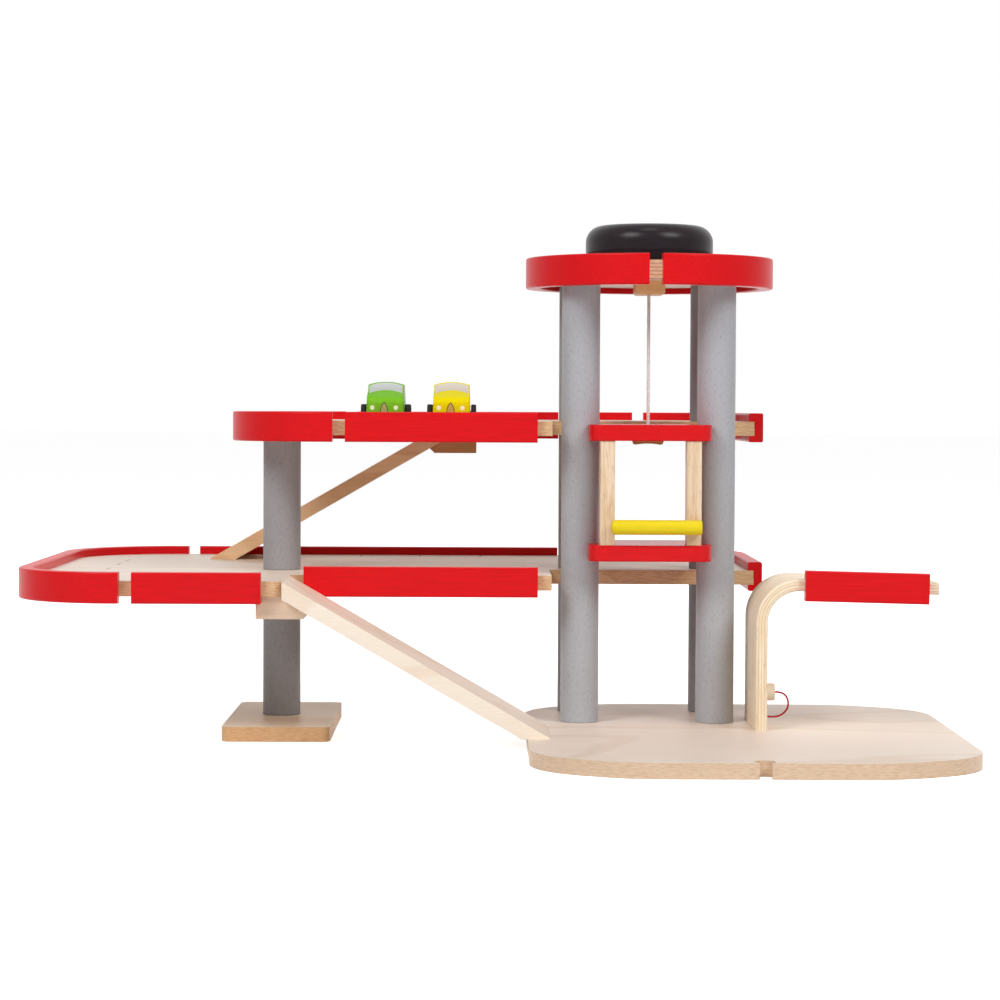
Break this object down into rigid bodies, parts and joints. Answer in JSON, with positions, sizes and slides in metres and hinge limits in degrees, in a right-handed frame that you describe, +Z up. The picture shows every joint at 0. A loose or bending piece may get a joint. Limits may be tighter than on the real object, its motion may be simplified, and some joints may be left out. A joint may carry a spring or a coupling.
{
  "type": "toy parking garage",
  "caption": "Wooden toy parking garage with two decks, ramps, a rope lift with winding knob, a barrier, a fuel canopy and small cars.",
  "frame": {"origin": "on the floor, midway between the two tall front columns, under the base board", "axes": "X to the right along the longest side, Y to the rear, Z up"},
  "size_m": [0.816, 0.616, 0.4579],
  "materials": {
    "pale_wood": "satin",
    "tan_wood": "satin",
    "red_paint": "gloss",
    "grey_stain": "matte",
    "black_paint": "gloss",
    "yellow_paint": "gloss",
    "green_paint": "gloss",
    "wheel_black": "matte",
    "cotton_rope": "matte",
    "red_cord": "matte"
  },
  "bodies": {
    "garage": {"base_board": "pale_wood", "canopy_board": "pale_wood", "canopy_rails": "red_paint", "column_dowels": "pale_wood", "foot_column_lower": "grey_stain", "foot_column_upper": "grey_stain", "foot_plate": "tan_wood", "front_column_left": "grey_stain", "front_column_right": "grey_stain", "lower_deck": "pale_wood", "lower_rail_front_left": "red_paint", "lower_rail_front_left_corner": "red_paint", "lower_rail_front_right": "red_paint", "lower_rail_left_end": "red_paint", "lower_rail_rear_left_corner": "red_paint", "lower_rail_rear_long": "red_paint", "lower_rail_rear_right_corner": "red_paint", "lower_rail_rear_short": "red_paint", "lower_rail_right_end": "red_paint", "platform_rim_front_left": "red_paint", "platform_rim_front_right": "red_paint", "platform_rim_rear_left": "red_paint", "platform_rim_rear_right": "red_paint", "ramp_block_lower": "tan_wood", "ramp_block_upper": "tan_wood", "ramp_lower": "pale_wood", "ramp_upper": "pale_wood", "rear_columns_lower": "grey_stain", "rear_columns_middle": "grey_stain", "rear_columns_upper": "grey_stain", "rope_guide_block": "tan_wood", "top_platform": "pale_wood", "upper_deck": "pale_wood", "upper_rail_front": "red_paint", "upper_rail_front_left_corner": "red_paint", "upper_rail_left_end": "red_paint", "upper_rail_rear_left": "red_paint", "upper_rail_rear_left_corner": "red_paint", "upper_rail_rear_long": "red_paint", "upper_rail_rear_right_corner": "red_paint", "upper_rail_rear_short": "red_paint", "upper_rail_right_end": "red_paint", "wound_rope": "cotton_rope"},
    "lift": {"lift_roof": "red_paint", "lift_floor": "red_paint", "lift_posts": "pale_wood", "rope_anchor": "tan_wood", "lift_rope": "cotton_rope"},
    "winch": {"winding_knob": "black_paint", "winch_spool": "pale_wood"},
    "barrier": {"barrier_bar": "yellow_paint", "barrier_pin": "pale_wood"},
    "nozzle": {"fuel_nozzle": "tan_wood", "fuel_cord": "red_cord"},
    "green_car": {"green_car_body": "green_paint"},
    "green_front_axle": {"green_car_front_wheels": "wheel_black"},
    "green_rear_axle": {"green_car_rear_wheels": "wheel_black"},
    "yellow_car": {"yellow_car_body": "yellow_paint"},
    "yellow_front_axle": {"yellow_car_front_wheels": "wheel_black"},
    "yellow_rear_axle": {"yellow_car_rear_wheels": "wheel_black"}
  },
  "joints": [
    {"name": "lift_travel", "type": "slide", "parent": "garage", "child": "lift", "axis": [0, 0, 1], "range_m": [-0.145, 0.108], "deforming": ["lift_rope"]},
    {"name": "knob_turn", "type": "hinge", "parent": "garage", "child": "winch", "pos_m": [0.0025, 0.0455, 0.42], "axis": [0, 0, 1], "range_deg": [-650, 860]},
    {"name": "barrier_swing", "type": "hinge", "parent": "lift", "child": "barrier", "pos_m": [0.0385, -0.0545, 0.1891], "axis": [0, 1, 0], "range_deg": [0, 90]},
    {"name": "nozzle_pull", "type": "slide", "parent": "garage", "child": "nozzle", "axis": [1, 0, 0], "range_m": [0, 0.008]},
    {"name": "green_car_roll", "type": "slide", "parent": "garage", "child": "green_car", "axis": [0, 1, 0], "range_m": [0, 0.14]},
    {"name": "green_front_wheels_turn", "type": "hinge", "parent": "green_car", "child": "green_front_axle", "pos_m": [-0.2341, -0.01, 0.2886], "axis": [1, 0, 0], "continuous": true},
    {"name": "green_rear_wheels_turn", "type": "hinge", "parent": "green_car", "child": "green_rear_axle", "pos_m": [-0.2341, 0.033, 0.2886], "axis": [1, 0, 0], "continuous": true},
    {"name": "yellow_car_roll", "type": "slide", "parent": "garage", "child": "yellow_car", "axis": [0, 1, 0], "range_m": [0, 0.14]},
    {"name": "yellow_front_wheels_turn", "type": "hinge", "parent": "yellow_car", "child": "yellow_front_axle", "pos_m": [-0.1754, -0.01, 0.2886], "axis": [1, 0, 0], "continuous": true},
    {"name": "yellow_rear_wheels_turn", "type": "hinge", "parent": "yellow_car", "child": "yellow_rear_axle", "pos_m": [-0.1754, 0.033, 0.2886], "axis": [1, 0, 0], "continuous": true}
  ],
  "couplings": [
    {"joint": "knob_turn", "follows": "lift_travel", "rad_per_m": -102.04}
  ]
}
